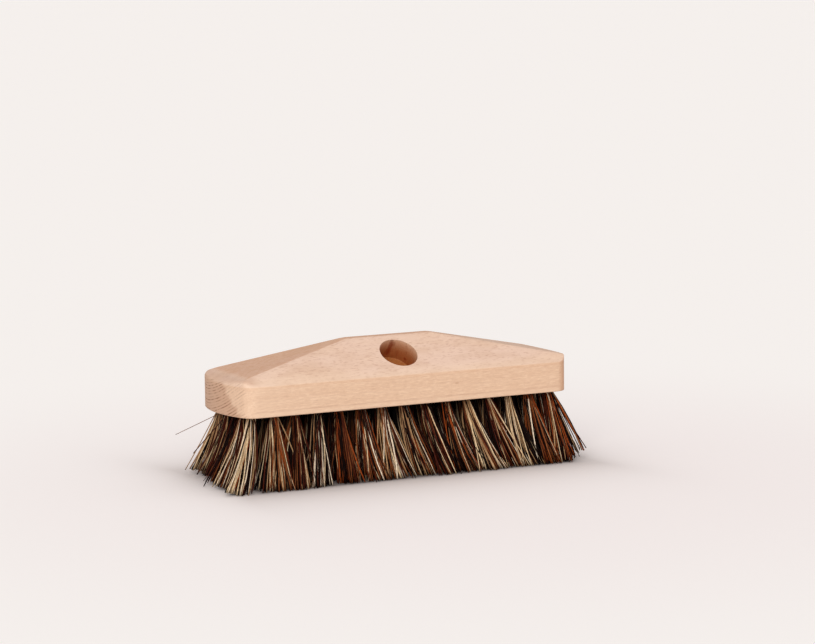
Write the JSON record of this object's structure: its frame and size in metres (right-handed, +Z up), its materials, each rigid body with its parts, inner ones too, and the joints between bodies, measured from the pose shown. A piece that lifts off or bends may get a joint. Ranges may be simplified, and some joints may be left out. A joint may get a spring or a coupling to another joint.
{
  "type": "scrub brush",
  "caption": "Wooden deck scrub brush head with a hipped block, a slanted socket for a broom handle and flared tufts of stiff plant fibre.",
  "frame": {"origin": "on the floor under the middle of the block, where the bristle tips stand", "axes": "+X along the block, +Z up, the handle socket opens towards -Y and +Z"},
  "size_m": [0.2459, 0.075, 0.0825],
  "materials": {
    "beech": "raw planed and sanded beech",
    "fibre": "stiff mixed plant fibre, brown and cream",
    "wire": "plain drawn flat wire"
  },
  "bodies": {
    "root": {"block": "beech", "tufts_col_01": "fibre", "tufts_col_02": "fibre", "tufts_col_03": "fibre", "tufts_col_04": "fibre", "tufts_col_05": "fibre", "tufts_col_06": "fibre", "tufts_col_07": "fibre", "tufts_col_08": "fibre", "tufts_col_09": "fibre", "tufts_col_10": "fibre", "tufts_col_11": "fibre", "tufts_col_12": "fibre", "tufts_col_13": "fibre", "tufts_col_14": "fibre", "tufts_col_15": "fibre", "anchors_col_01": "wire", "anchors_col_02": "wire", "anchors_col_03": "wire", "anchors_col_04": "wire", "anchors_col_05": "wire", "anchors_col_06": "wire", "anchors_col_07": "wire", "anchors_col_08": "wire", "anchors_col_09": "wire", "anchors_col_10": "wire", "anchors_col_11": "wire", "anchors_col_12": "wire", "anchors_col_13": "wire", "anchors_col_14": "wire", "anchors_col_15": "wire"}
  },
  "joints": []
}
